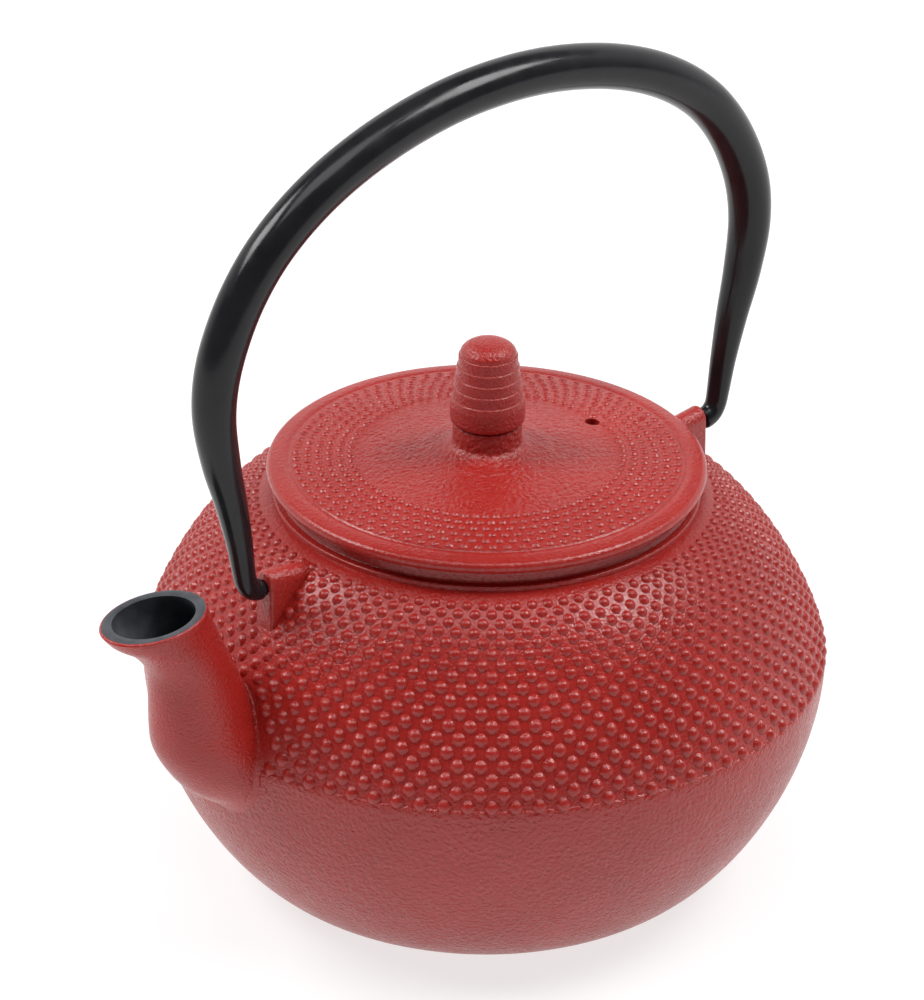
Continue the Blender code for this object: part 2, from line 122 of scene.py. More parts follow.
# Lugs and hinge
LUG_FACE = 71.0 * MM
LUG_ROOT = 56.5 * MM
LUG_HALF_WIDTH = 3.0 * MM
LUG_SPREAD = 0.4 * MM
LUG_ARCH = 99.8 * MM
LUG_DROP = 1.8 * MM                     # how far the lug's top falls from its face to its root
LUG_FOOT = 82.0 * MM
HINGE_HEIGHT = 98.6 * MM
SOCKET_RADIUS = 2.0 * MM
SOCKET_DEPTH = 7.0 * MM
LUG_SINK = 3.0 * MM                     # how far the lug goes on below its foot, inside the wall
LUG_SOFT = 0.9 * MM                     # rounding of the edge round the lug's face
LUG_SOFT_STEPS = 6
LUG_CLEAR = 2.5 * MM                    # hobnails may run this far over the lug's root
ARCH_STEPS = 20
HOLE_SIDES = 32
CUT_PAST = 2.0 * MM

# Bail handle: half of its centre line as (X, Z, tube radius), millimetres, pin to crown
HANDLE_HALF = (
    (64.8, 98.6, 1.6), (68.0, 98.6, 1.6), (70.2, 98.6, 1.6), (71.4, 98.6, 1.6),
    (72.1, 98.6, 2.5), (73.2, 98.8, 2.75), (75.0, 99.7, 2.75), (76.4, 101.8, 2.75),
    (77.2, 105.6, 2.9), (78.6, 114.0, 3.3), (81.0, 125.0, 4.0), (84.2, 137.5, 4.8),
    (86.1, 151.0, 5.4), (84.2, 164.0, 5.7), (77.8, 178.0, 5.7), (68.0, 189.8, 5.7),
    (54.0, 199.6, 5.7), (37.0, 206.7, 5.7), (18.0, 211.1, 5.7), (0.0, 212.4, 5.7),
)
HANDLE_SIDES = 48
HANDLE_STEPS = 8

# Lid and knob
LID_RADIUS = 54.6 * MM
LID_RIM_TOP = 110.4 * MM
LID_RIM_ROUND = 1.55 * MM
LID_RIM_DROP = 0.3 * MM                 # how far the rounded edge starts below the rim's top
LID_CROWN = 114.2 * MM                  # height where the boss flares out of the cone
LID_FLARE = (6.6 * MM, 2.6 * MM)        # width and height of the flare
LID_SLOPE = ((14.0, 114.2), (30.0, 112.6), (48.6, 110.8))   # top of the cone as (radius, height), mm
LID_LEAN = 0.0965                       # how much the cone falls per unit of radius
LID_GROOVE = ((48.9, 0.05), (49.3, -0.1), (49.8, 0.05), (51.0, 0.12))   # radius, rise over the rim, mm
LID_UNDER = ((51.6, 106.7), (44.2, 106.7), (43.2, 105.7), (43.2, 100.0), (40.9, 100.0), (40.9, 107.2),
             (30.0, 109.4), (13.0, 111.0), (6.6, 111.6), (6.2, 114.6), (2.4, 114.6))    # underside, mm
LID_UNDER_EDGE = 0.5 * MM
LID_RED_UNDER = 8                       # strips of the underside next to the rim that stay red
LID_PEEL_RADIUS = 32.0 * MM             # the orange peel ends here
LID_CONE_STEPS = 24
SCREW_HOLE = 2.4 * MM
LID_BOSS_RADIUS = 8.6 * MM
LID_BOSS_TOP = 121.3 * MM
LID_TURNS = 192
DOT_ROWS = 6
DOTS_PER_ROW = 84
DOT_START = 47.2 * MM
DOT_PITCH = 2.7 * MM
DOT_RADIUS = 1.15 * MM
DOT_HEIGHT = 0.55 * MM
DOT_SHRINK = 0.2                        # how much smaller a dot on the axis would be
DOT_SIDES = 12
DOT_PROFILE = ((1.08, -0.35), (1.0, 0.03), (0.8, 0.4), (0.5, 0.8), (0.22, 0.97))
VENT_RADIUS = 1.9 * MM
VENT_PLACE = (-31.2 * MM, 3.9 * MM)
VENT_CUT = (104 * MM, 118 * MM)         # heights of the cutter's ends
KNOB_FOOT = 121.6 * MM
KNOB_TURNS = 96
KNOB_TERRACES = 5
TERRACE_PITCH = 2.85 * MM
TERRACE_START = (7.35 * MM, 139.8 * MM)
TERRACE_TAPER = 0.42 * MM
TERRACE_LEDGE = (0.34 * MM, 0.02 * MM, 0.16 * MM)   # depth of a ledge, its rise inside and drop outside
KNOB_CAP = ((0.0, 143.2), (2.0, 143.12), (3.6, 142.9), (5.0, 142.45), (6.1, 141.75), (6.8, 140.9),
            (7.05, 140.1))              # mm
KNOB_BAND = ((9.3, 126.6), (9.3, 122.9), (9.2, 122.2), (8.9, 121.8), (8.3, 121.6))  # mm
KNOB_EDGE = 0.12 * MM
KNOB_BORE = (2.2 * MM, 133.4 * MM)      # radius and top of the screw's hole

# Basket infuser
BASKET_RADIUS = 44.3 * MM
WIRE = 0.14 * MM
WIRE_COUNT = 200
WIRE_PITCH = 1.4 * MM
WALL_INSET = 0.25 * MM                  # the upright wires stand this far inside the basket's radius
HOOP_SIDES = 80
WIRE_ANGLES = [pi / 4 + pi / 2 * k for k in range(4)]

# Studio, as the camera sees it: right of the picture, towards the camera, up
VIEW_RIGHT = Vector((-0.7596, 0.6504, 0.0))
VIEW_NEAR = Vector((0.6504, 0.7596, 0.0))
CAMERA_PLACE = Vector((1.0772, 1.2488, 0.9627))
CAMERA_ELEVATION = radians(27.64)
CAMERA_ROLL = radians(0.73)
CAMERA_LENS = 270.0
SENSOR = 36.0
FLOOR_HALF = 6.0
FLOOR_GLOW = 0.74
LIGHT_REACH = 2.2
LIGHT_AIM = 0.07                        # height on the pot that the lights are aimed at
SOFTBOXES = (                           # name, direction as right, near and up, width, length, watts
    ("softbox_left", (-0.65, -0.04, 0.76), 0.9, 0.9, 32.0),
    ("softbox_right", (0.57, -0.06, 0.82), 0.9, 0.9, 31.0),
    ("softbox_top", (0.0, 0.20, 1.02), 1.5, 1.0, 17.0),
)
ROOM_LEVEL, SWEEP_LEVEL = 0.10, 1.0     # brightness of the dim room and of the sweep behind the pot


# ---------------------------------------------------------------- materials

class Surface:
    """A procedural material under construction: a Principled shader and its helper nodes."""

    def __init__(self, name, colour, roughness, metallic=0.0):
        self.material = bpy.data.materials.new(name)
        self.material.use_nodes = True
        self.nodes = self.material.node_tree.nodes
        self.links = self.material.node_tree.links
        self.shader = self.nodes["Principled BSDF"]
        self.shader.inputs["Base Color"].default_value = (*colour, 1.0)
        self.shader.inputs["Roughness"].default_value = roughness
        self.shader.inputs["Metallic"].default_value = metallic
        self.place = self.nodes.new("ShaderNodeTexCoord").outputs["Object"]

    def set(self, **values):
        for name, value in values.items():
            self.shader.inputs[name.replace("_", " ")].default_value = value

    def noise(self, scale, detail=2.0, roughness=0.5, stretch=None):
        node = self.nodes.new("ShaderNodeTexNoise")
        node.inputs["Scale"].default_value = scale
        node.inputs["Detail"].default_value = detail
        node.inputs["Roughness"].default_value = roughness
        place = self.place
        if stretch:
            mapping = self.nodes.new("ShaderNodeMapping")
            mapping.inputs["Scale"].default_value = stretch
            self.links.new(place, mapping.inputs["Vector"])
            place = mapping.outputs["Vector"]
        self.links.new(place, node.inputs["Vector"])
        return node.outputs["Fac"]

    def ramp(self, value, stops):
        """Map a value through a colour ramp of (position, grey or colour) stops."""
        node = self.nodes.new("ShaderNodeValToRGB")
        elements = node.color_ramp.elements
        while len(elements) < len(stops):
            elements.new(0.5)
        for element, (position, colour) in zip(elements, stops):
            element.position = position
            element.color = (*colour, 1.0) if isinstance(colour, tuple) else (colour, colour, colour, 1.0)
        self.links.new(value, node.inputs["Fac"])
        return node.outputs["Color"]

    def mix(self, share, first, second):
        """Blend a colour output into a plain colour by a share output."""
        node = self.nodes.new("ShaderNodeMix")
        node.data_type = "RGBA"
        self.links.new(share, node.inputs["Factor"])
        low, high = [socket for socket in node.inputs if socket.type == "RGBA"]
        self.links.new(first, low)
        high.default_value = (*second, 1.0)
        return [socket for socket in node.outputs if socket.type == "RGBA"][0]

    def colour(self, value):
        self.links.new(value, self.shader.inputs["Base Color"])

    def rough(self, value):
        self.links.new(value, self.shader.inputs["Roughness"])

    def bump(self, *layers):
        """Stack bump layers of (value, strength, distance in metres)."""
        normal = None
        for value, strength, distance in layers:
            node = self.nodes.new("ShaderNodeBump")
            node.inputs["Strength"].default_value = strength
            node.inputs["Distance"].default_value = distance
            self.links.new(value, node.inputs["Height"])
            if normal:
                self.links.new(normal, node.inputs["Normal"])
            normal = node.outputs["Normal"]
        self.links.new(normal, self.shader.inputs["Normal"])

    def edges(self):
        """Convexity of the surface, about 0.5 where it is flat."""
        return self.nodes.new("ShaderNodeNewGeometry").outputs["Pointiness"]


def red_enamel(name, grain, depth):
    """Satin red enamel over iron; grain is the orange-peel scale per metre, depth its height."""
    surface = Surface(name, (0.33, 0.014, 0.010), 0.27)
    cloud = surface.noise(38.0, 3.0)
    base = surface.ramp(cloud, ((0.3, (0.31, 0.0125, 0.0090)), (0.7, (0.36, 0.0170, 0.0125))))
    worn = surface.ramp(surface.edges(), ((0.52, 0.0), (0.62, 0.35)))
    surface.colour(surface.mix(worn, base, (0.42, 0.035, 0.026)))
    surface.rough(surface.ramp(surface.noise(160.0, 3.0), ((0.3, 0.23), (0.7, 0.33))))
    surface.bump((surface.noise(grain, 2.0, 0.5), 0.8, depth),
                 (surface.noise(grain * 2.7, 1.0), 0.3, depth * 0.3))
    return surface.material


def black_enamel(name):
    surface = Surface(name, (0.010, 0.010, 0.012), 0.24)
    surface.colour(surface.ramp(surface.noise(60.0, 3.0), ((0.3, (0.008, 0.008, 0.010)),
                                                           (0.7, (0.014, 0.014, 0.016)))))
    surface.rough(surface.ramp(surface.noise(240.0, 3.0), ((0.3, 0.15), (0.7, 0.24))))
    surface.set(Specular_IOR_Level=0.28)
    surface.bump((surface.noise(520.0, 2.0), 0.25, 0.05 * MM))
    return surface.material


def slate_enamel(name):
    """Dull grey-black enamel of the pot's inside, the spout's lip and its bore."""
    surface = Surface(name, (0.035, 0.038, 0.042), 0.5)
    surface.colour(surface.ramp(surface.noise(220.0, 3.0), ((0.3, (0.034, 0.037, 0.044)),
                                                            (0.7, (0.066, 0.072, 0.082)))))
    surface.rough(surface.ramp(surface.noise(300.0, 2.0), ((0.3, 0.42), (0.7, 0.58))))
    surface.bump((surface.noise(900.0, 2.0), 0.4, 0.12 * MM))
    return surface.material


def steel(name, stretch):
    """Brushed stainless steel; stretch sets the direction of the brush lines."""
    surface = Surface(name, (0.62, 0.62, 0.62), 0.28, 1.0)
    lines = surface.noise(900.0, 3.0, 0.6, stretch)
    surface.colour(surface.ramp(lines, ((0.3, (0.52, 0.52, 0.53)), (0.7, (0.66, 0.66, 0.65)))))
    surface.rough(surface.ramp(lines, ((0.3, 0.22), (0.7, 0.36))))
    surface.bump((lines, 0.2, 0.03 * MM))
    return surface.material


RED_SMOOTH = red_enamel("red_enamel_plain", 1300.0, 0.22 * MM)
RED_PEEL = red_enamel("red_enamel_peel", 880.0, 0.85 * MM)
RED_FINE = red_enamel("red_enamel_fine", 1500.0, 0.40 * MM)
BLACK = black_enamel("black_enamel")
SLATE = slate_enamel("slate_enamel")
STEEL_ROUND = steel("steel_brushed_round", (1.0, 1.0, 12.0))
STEEL_FLAT = steel("steel_brushed_flat", (1.0, 12.0, 1.0))


# ---------------------------------------------------------------- mesh helpers

def finish_piece(name, bm, materials, body, nodes, smooth=SMOOTH_ANGLE):
    """Turn a bmesh into a named piece that rides on a body and stands for CAD nodes."""
    bmesh.ops.recalc_face_normals(bm, faces=bm.faces)
    mesh = bpy.data.meshes.new(name)
    bm.to_mesh(mesh)
    bm.free()
    mesh.shade_smooth()
    mesh.set_sharp_from_angle(angle=smooth)
    piece = bpy.data.objects.new(name, mesh)
    bpy.context.scene.collection.objects.link(piece)
    for material in materials:
        mesh.materials.append(material)
    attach(piece, body)
    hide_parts(*nodes)
    return piece


def ring_of(radius, height, steps):
    return [(radius * cos(2 * pi * i / steps), radius * sin(2 * pi * i / steps), height)
            for i in range(steps)]


def skin(bm, rings, materials=None, closed=False):
    """Bridge rings of equally many points; a ring of one point is a pole. Returns vertex loops."""
    loops = [[bm.verts.new(point) for point in ring] for ring in rings]
    pairs = list(zip(loops, loops[1:]))
    if closed:
        pairs.append((loops[-1], loops[0]))
    for index, (low, high) in enumerate(pairs):
        count = max(len(low), len(high))
        for i in range(count):
            j = (i + 1) % count
            corners = [low[i % len(low)], low[j % len(low)], high[j % len(high)], high[i % len(high)]]
            if len(low) == 1:
                corners = [low[0], high[j], high[i]]
            elif len(high) == 1:
                corners = [low[i], low[j], high[0]]
            face = bm.faces.new(corners)
            if materials:
                face.material_index = materials[index]
    return loops


def capped(bm, rings):
    """Bridge rings and close both ends."""
    loops = skin(bm, rings)
    bm.faces.new(loops[0])
    bm.faces.new(loops[-1])


def turned(bm, outline, steps, materials=None, closed=False):
    """Spin an outline of (radius, height) about Z; a point on the axis becomes a pole."""
    rings = [ring_of(radius, height, steps) if radius > 0 else [(0.0, 0.0, height)]
             for radius, height in outline]
    return skin(bm, rings, materials, closed)


def between(points, steps):
    """Smooth points through a list of tuples (Catmull-Rom), with steps spans in each gap."""
    ends = [points[0]] + list(points) + [points[-1]]
    result = []
    for a, b, c, d in zip(ends, ends[1:], ends[2:], ends[3:]):
        for step in range(steps):
            t = step / steps
            result.append(tuple(
                0.5 * (2 * q + (r - p) * t + (2 * p - 5 * q + 4 * r - s) * t ** 2
                       + (3 * q - p - 3 * r + s) * t ** 3)
                for p, q, r, s in zip(a, b, c, d)))
    result.append(tuple(points[-1]))
    return result


def rounded(outline, radius, steps=5):
    """Round the inner corners of an outline of (radius, height) points by small arcs."""
    result = [outline[0]]
    for before, corner, after in zip(outline, outline[1:], outline[2:]):
        here = Vector(corner)
        inward, outward = Vector(before) - here, Vector(after) - here
        reach = min(radius, inward.length * 0.45, outward.length * 0.45)
        start, end = here + inward.normalized() * reach, here + outward.normalized() * reach
        for i in range(steps + 1):
            t = i / steps
            point = start * (1 - t) ** 2 + here * 2 * t * (1 - t) + end * t ** 2
            result.append((point.x, point.y))
    result.append(outline[-1])
    return result


def cut(piece, cutter):
    """Take the cutter's shape out of a piece and throw the cutter away."""
    modifier = piece.modifiers.new("cut", "BOOLEAN")
    modifier.operation = "DIFFERENCE"
    modifier.solver = "EXACT"
    modifier.object = cutter
    with bpy.context.temp_override(object=piece, active_object=piece):
        bpy.ops.object.modifier_apply(modifier=modifier.name)
    bpy.data.objects.remove(cutter, do_unlink=True)
    piece.data.set_sharp_from_angle(angle=SMOOTH_ANGLE)


def cutter_from(rings, name):
    bm = bmesh.new()
    capped(bm, rings)
    bmesh.ops.recalc_face_normals(bm, faces=bm.faces)
    mesh = bpy.data.meshes.new(name)
    bm.to_mesh(mesh)
    bm.free()
    cutter = bpy.data.objects.new(name, mesh)
    bpy.context.scene.collection.objects.link(cutter)
    return cutter


# ---------------------------------------------------------------- the pot's surface

def pot_radius(height):
    """Radius of the pot's outside at a height between the base and the collar."""
    if height >= BELLY_HEIGHT:
        share = min((height - BELLY_HEIGHT) / (COLLAR_HEIGHT - BELLY_HEIGHT), 1.0)
        powers, end = UPPER_POWERS, COLLAR_RADIUS
    else:
        share = min((BELLY_HEIGHT - height) / BELLY_HEIGHT, 1.0)
        powers, end = LOWER_POWERS, BASE_RADIUS
    return end + (BELLY_RADIUS - end) * max(1 - share ** powers[0], 0.0) ** (1 / powers[1])


def pot_normal(place):
    """Outward direction of the pot's surface at a point on it."""
    step = 0.05 * MM
    low = min(max(place.z, step), COLLAR_HEIGHT - step)
    slope = (pot_radius(low + step) - pot_radius(low - step)) / (2 * step)
    slope = max(min(slope, 12.0), -12.0)
    out = Vector((place.x, place.y, 0.0)).normalized()
    return Vector((out.x, out.y, -slope)).normalized()


def onto_pot(place):
    """Nearest point on the pot's outside, found in a few steps along its normal."""
    for _ in range(6):
        normal = pot_normal(place)
        gap = hypot(place.x, place.y) - pot_radius(min(max(place.z, 0.0), COLLAR_HEIGHT))
        flat = hypot(normal.x, normal.y)
        place = place - normal * gap * flat
    return place


def quarter(inner, outer, middle, end, powers, count):
    points = []
    for i in range(count + 1):
        t = sin(i / count * pi / 2)
        radius = inner + (outer - inner) * max(1 - t ** powers[0], 0) ** (1 / powers[1])
        points.append((radius, middle + (end - middle) * t))
    return points


def pot_outside():
    """Outline of the base, both curved walls, the parting step, the collar and the neck."""
    foot = [(0.0, FOOT[0][1] * MM)] + [(radius * MM, height * MM) for radius, height in FOOT]
    lower = quarter(BASE_RADIUS, BELLY_RADIUS + PARTING_STEP, BELLY_HEIGHT, 0.0, LOWER_POWERS, SHELL_STEPS)
    upper = quarter(COLLAR_RADIUS, BELLY_RADIUS, BELLY_HEIGHT, COLLAR_HEIGHT, UPPER_POWERS, SHELL_STEPS)
    lower = [point for point in lower[::-1] if point[1] > EDGE_ROOM]
    ledge = [(BELLY_RADIUS + out, BELLY_HEIGHT + up) for out, up in PARTING_LEDGE]
    upper = [point for point in upper if point[1] > BELLY_HEIGHT + EDGE_ROOM]
    fillet = [(NECK_RADIUS + out, COLLAR_TOP + up) for out, up in NECK_FILLET]
    collar = rounded([upper.pop(), (COLLAR_RADIUS, COLLAR_TOP)] + fillet
                     + [(NECK_RADIUS, SEAT_HEIGHT), (REBATE_RADIUS, SEAT_HEIGHT)], COLLAR_EDGE)
    return foot + lower + ledge + upper + collar


def pot_inside():
    """Outline of the rebate, the ceiling under the shoulder and the bowl, down to the axis."""
    inner = BELLY_RADIUS - WALL
    rebate = SEAT_HEIGHT - REBATE_DEPTH
    ceiling = quarter(MOUTH_RADIUS, inner, BELLY_HEIGHT, COLLAR_HEIGHT - WALL, UPPER_POWERS, INSIDE_STEPS)
    bowl = quarter(BASE_RADIUS - WALL, inner, BELLY_HEIGHT, FLOOR, LOWER_POWERS, INSIDE_STEPS)
    return [(REBATE_RADIUS, rebate), (MOUTH_RADIUS, rebate)] + ceiling[::-1] + bowl[1:] + [(0.0, FLOOR)]


def build_pot_shell():
    """Outside, collar, seat and black inside of the pot as one closed turned piece."""
    outside, inside = pot_outside(), pot_inside()
    materials = [1 if height > BELLY_HEIGHT + PARTING_LEDGE[0][1] + 0.1 * MM else 0
                 for radius, height in outside[:-1]]
    materials += [2] * len(inside)
    bm = bmesh.new()
    turned(bm, outside + inside, SHELL_TURNS, materials)
    shell = finish_piece("pot_shell", bm, (RED_PEEL, RED_SMOOTH, SLATE), "pot", POT_NODES)
    cut(shell, cutter_from(channel_rings(CHANNEL_GROWTH), "channel_cutter"))


# ---------------------------------------------------------------- spout

def oval(section, tilt, sides=SPOUT_SIDES):
    height, reach, length, width = section
    ring = []
    for i in range(sides):
        angle = 2 * pi * i / sides
        x = length * cos(angle)
        ring.append(Vector((reach + x, width * sin(angle), height - x * tan(tilt))))
    return ring


def lip_share(height):
    """How far up the flare below the lip a section lies, from 0 to 1."""
    flare_foot, lip = SPOUT_SECTIONS[-4][0] * MM, SPOUT_SECTIONS[-1][0] * MM
    return min(max((height - flare_foot) / (lip - flare_foot), 0.0), 1.0)


def spout_sections():
    return [tuple(value * MM for value in section) for section in SPOUT_SECTIONS]


def channel_rings(grow=0.0):
    """Rings of the pouring channel from its foot inside the pot to just above the lip."""
    sections = [tuple(value * MM for value in CHANNEL_FOOT)]
    for height, reach, length, width in spout_sections():
        if height > sections[0][0]:
            share = lip_share(height) ** 2
            length += (SPOUT_MOUTH[0] - length) * share - SPOUT_WALL * (1 - share)
            width += (SPOUT_MOUTH[1] - width) * share - SPOUT_WALL * (1 - share)
            sections.append((height, reach, length, width))
    sections.append((sections[-1][0] + 3 * MM, *sections[-1][1:]))
    return [oval((height, reach, length + grow, width + grow), LIP_TILT * lip_share(height))
            for height, reach, length, width in between(sections, SPOUT_STEPS)]


def above_pot(place, depth=0.0):
    """How far a point stands outside the pot's surface, less a depth."""
    if place.z > COLLAR_HEIGHT:
        return 1.0
    return hypot(place.x, place.y) - pot_radius(place.z) + depth


def leave_pot(line, depth=0.0):
    """Where a line of points from inside the pot last comes out of its surface: index and share."""
    crossing = (0, 0.0)
    for i in range(len(line) - 1):
        here, there = above_pot(line[i], depth), above_pot(line[i + 1], depth)
        if here <= 0 < there:
            crossing = (i, here / (here - there))
    return crossing


def along(line, index, share, distance):
    """Walk a distance along a line of points from a place between two of them."""
    place = line[index].lerp(line[index + 1], share)
    while index + 1 < len(line):
        gap = (line[index + 1] - place).length
        if gap > distance:
            return place + (line[index + 1] - place).normalized() * distance, index + 1
        distance -= gap
        place = line[index + 1]
        index += 1
    return place, index


def evenly(line, count):
    """Points at count equal steps of length along a line of points, both ends included."""
    lengths = [0.0]
    for a, b in zip(line, line[1:]):
        lengths.append(lengths[-1] + (b - a).length)
    points = []
    for step in range(count + 1):
        goal = lengths[-1] * step / count
        at = min(max(i for i, length in enumerate(lengths) if length <= goal + 1e-9), len(line) - 2)
        span = max(lengths[at + 1] - lengths[at], 1e-9)
        points.append(line[at].lerp(line[at + 1], (goal - lengths[at]) / span))
    return points


def fillet_size(height):
    """Width of the fillet between spout and pot: soft below the belly, tight on the shoulder."""
    low, high = FILLET_SPAN
    share = min(max((height - low) / (high - low), 0.0), 1.0)
    share = share * share * (3 - 2 * share)
    return FILLET_SIZES[0] * (1 - share) + FILLET_SIZES[1] * share


def spout_outside(rings):
    """Rings of the spout's outside, from the fillet on the pot up to the lip."""
    lines = [list(line) for line in zip(*rings)]
    crossings = [leave_pot(line) for line in lines]
    feet = [onto_pot(line[i].lerp(line[i + 1], share)) for line, (i, share) in zip(lines, crossings)]
    middle = sum(feet, Vector()) / len(feet)
    columns = []
    for k, (line, (index, share), foot) in enumerate(zip(lines, crossings, feet)):
        size = fillet_size(foot.z)
        start, index_above = along(line, index, share, size)
        run = feet[(k + 1) % len(feet)] - feet[k - 1]
        away = pot_normal(foot).cross(run).normalized()
        if away.dot(foot - middle) < 0:
            away = -away
        end = onto_pot(foot + away * size)
        end -= pot_normal(end) * FILLET_SINK
        column = []
        for step in range(FILLET_STEPS + 1):
            t = step / FILLET_STEPS
            column.append(end * (1 - t) ** 2 + foot * 2 * t * (1 - t) + start * t ** 2)
        columns.append(column + evenly([start] + line[index_above:], SPOUT_STATIONS)[1:])
    return [list(ring) for ring in zip(*columns)]


def spout_lip(rim, mouth, centre):
    """Rounded outer edge, flat top and edge of the mouth: rings from the outside in."""
    edges = [[Vector((centre.x + (p.x - centre.x) * shrink_x, p.y * shrink_y, p.z + rise)) for p in rim]
             for shrink_x, shrink_y, rise in LIP_EDGES]
    hole = [Vector((p.x, p.y, centre.z + LIP_RISE - (p.x - centre.x) * tan(LIP_TILT))) for p in mouth]
    growth, rise = MOUTH_EDGE
    inner_edge = [(p - centre) * growth + centre + Vector((0, 0, rise)) for p in hole]
    return edges + [inner_edge, hole]


def spout_bore(bore):
    """Rings of the bore, from the lip down to just under the pot's surface."""
    columns = []
    for line in zip(*bore):
        index, share = leave_pot(line, BORE_SINK)
        foot = line[index].lerp(line[index + 1], share)
        columns.append(evenly([foot] + list(line[index + 1:]), BORE_STATIONS)[::-1])
    return [list(ring) for ring in zip(*columns)]


def build_spout():
    """Swept oval with a blended root, a flat dark lip and a black bore."""
    sections = spout_sections()
    rings = [oval(section, LIP_TILT * lip_share(section[0])) for section in between(sections, SPOUT_STEPS)]
    bore = channel_rings()
    centre = Vector((sections[-1][1], 0.0, sections[-1][0]))
    outside = spout_outside(rings)
    lip = spout_lip(rings[-1], bore[-1], centre)
    inside = spout_bore(bore[:-SPOUT_STEPS - 1])
    all_rings = outside + lip + inside
    red = len(outside) + 2
    bm = bmesh.new()
    skin(bm, all_rings, [0] * red + [1] * (len(all_rings) - red), closed=True)
    finish_piece("spout_casting", bm, (RED_FINE, SLATE), "pot", ("spout",))


# ---------------------------------------------------------------- hobnails

def in_spout(place, margin):
    """Whether a point on the shoulder lies under the spout."""
    for low, high in zip(SPOUT_SECTIONS, SPOUT_SECTIONS[1:]):
        if low[0] * MM <= place.z <= high[0] * MM:
            share = (place.z - low[0] * MM) / ((high[0] - low[0]) * MM)
            reach, length, width = ((a + (b - a) * share) * MM for a, b in zip(low[1:], high[1:]))
            return ((place.x - reach) / (length + margin)) ** 2 + (place.y / (width + margin)) ** 2 < 1
    return False


def in_lug(place, margin):
    half = LUG_HALF_WIDTH + LUG_SPREAD + margin
    return abs(place.y) < half and LUG_ROOT + LUG_CLEAR < abs(place.x) < LUG_FACE + margin


def add_dome(bm, place, normal, radius, height, profile, sides):
    """Small closed dome on a surface; the profile is (share of radius, share of height)."""
    turn = normal.to_track_quat("Z", "Y").to_matrix().to_4x4()
    matrix = Matrix.Translation(place) @ turn
    rings = [[matrix @ Vector((radius * out * cos(2 * pi * i / sides), radius * out * sin(2 * pi * i / sides),
                               height * up)) for i in range(sides)] for out, up in profile]
    rings.append([matrix @ Vector((0.0, 0.0, height))])
    loops = skin(bm, rings)
    bm.faces.new(loops[0][::-1])


def nail_rows():
    """Radius and height of every row of hobnails, from the parting line up to the collar."""
    rows = []
    height, radius, travelled, goal = BELLY_HEIGHT, BELLY_RADIUS, 0.0, NAIL_START
    step = 0.02 * MM
    while height < COLLAR_HEIGHT - 0.6 * MM:
        up = height + step
        if pot_radius(height) - pot_radius(up) > 3 * step:
            up = height + step / 8
        travelled += hypot(up - height, pot_radius(up) - radius)
        height, radius = up, pot_radius(up)
        if travelled >= goal:
            rows.append((radius, height))
            goal += NAIL_ROW_STEP * 2 * pi * radius / NAILS_PER_ROW
    return rows


def build_hobnails():
    rows = nail_rows()
    half = len(rows) // 2
    for name, first, last in (("hobnails_low", 0, half), ("hobnails_high", half, len(rows))):
        bm = bmesh.new()
        for row in range(first, last):
            radius, height = rows[row]
            pitch = 2 * pi * radius / NAILS_PER_ROW
            base = NAIL_BASE * pitch
            for i in range(NAILS_PER_ROW):
                angle = 2 * pi * (i + 0.5 * (row % 2)) / NAILS_PER_ROW
                place = Vector((radius * cos(angle), radius * sin(angle), height))
                if in_spout(place, base * 0.8) or in_lug(place, base * 0.35):
                    continue
                add_dome(bm, place, pot_normal(place), base, NAIL_HEIGHT * pitch, NAIL_PROFILE, NAIL_SIDES)
        finish_piece(name, bm, (RED_SMOOTH,), "pot", POT_NODES, DOME_ANGLE)


# ---------------------------------------------------------------- lugs

def build_lug(name, side):
    """Arched lug with softened edges and a socket for the handle's end."""
    foot_half, foot = LUG_HALF_WIDTH + LUG_SPREAD, LUG_FOOT - LUG_SINK
    arch = [(foot_half, foot)]
    for i in range(ARCH_STEPS + 1):
        angle = pi * i / ARCH_STEPS
        arch.append((LUG_HALF_WIDTH * cos(angle), LUG_ARCH + LUG_HALF_WIDTH * sin(angle)))
    arch.append((-foot_half, foot))
    rings = [[(side * LUG_ROOT, y, z - LUG_DROP) for y, z in arch]]
    for step in range(LUG_SOFT_STEPS + 1):
        angle = pi / 2 * step / LUG_SOFT_STEPS
        inset = LUG_SOFT * (1 - cos(angle))
        x = LUG_FACE - LUG_SOFT + LUG_SOFT * sin(angle)
        ring = []
        for y, z in arch:
            away = Vector((y, z - LUG_ARCH)) if z > LUG_ARCH else Vector((y, 0.0))
            pull = away.normalized() * inset
            ring.append((side * x, y - pull.x, z - pull.y))
        rings.append(ring)
    bm = bmesh.new()
    capped(bm, rings)
    lug = finish_piece(name, bm, (RED_FINE, SLATE), "pot", POT_NODES)
    hole = [[(side * x, y, HINGE_HEIGHT + z) for y, z, _ in ring_of(SOCKET_RADIUS, 0.0, HOLE_SIDES)]
            for x in (LUG_FACE - SOCKET_DEPTH, LUG_FACE + CUT_PAST)]
    cut(lug, cutter_from(hole, name + "_socket_cutter"))


# ---------------------------------------------------------------- handle

def build_handle():
    """Tapering tube, closed at its inturned ends."""
    half = [tuple(value * MM for value in point) for point in HANDLE_HALF]
    path = between(half + [(-x, z, radius) for x, z, radius in half[-2::-1]], HANDLE_STEPS)
    rings = []
    for i, (x, z, radius) in enumerate(path):
        before, after = path[max(i - 1, 0)], path[min(i + 1, len(path) - 1)]
        run = Vector((after[0] - before[0], 0.0, after[1] - before[1])).normalized()
        normal = Vector((-run.z, 0.0, run.x))
        centre = Vector((x, 0.0, z))
        rings.append([centre + normal * radius * cos(2 * pi * k / HANDLE_SIDES)
                      + Vector((0.0, radius * sin(2 * pi * k / HANDLE_SIDES), 0.0))
                      for k in range(HANDLE_SIDES)])
    bm = bmesh.new()
    capped(bm, rings)
    finish_piece("handle_tube", bm, (BLACK,), "handle", ("bail_handle",))


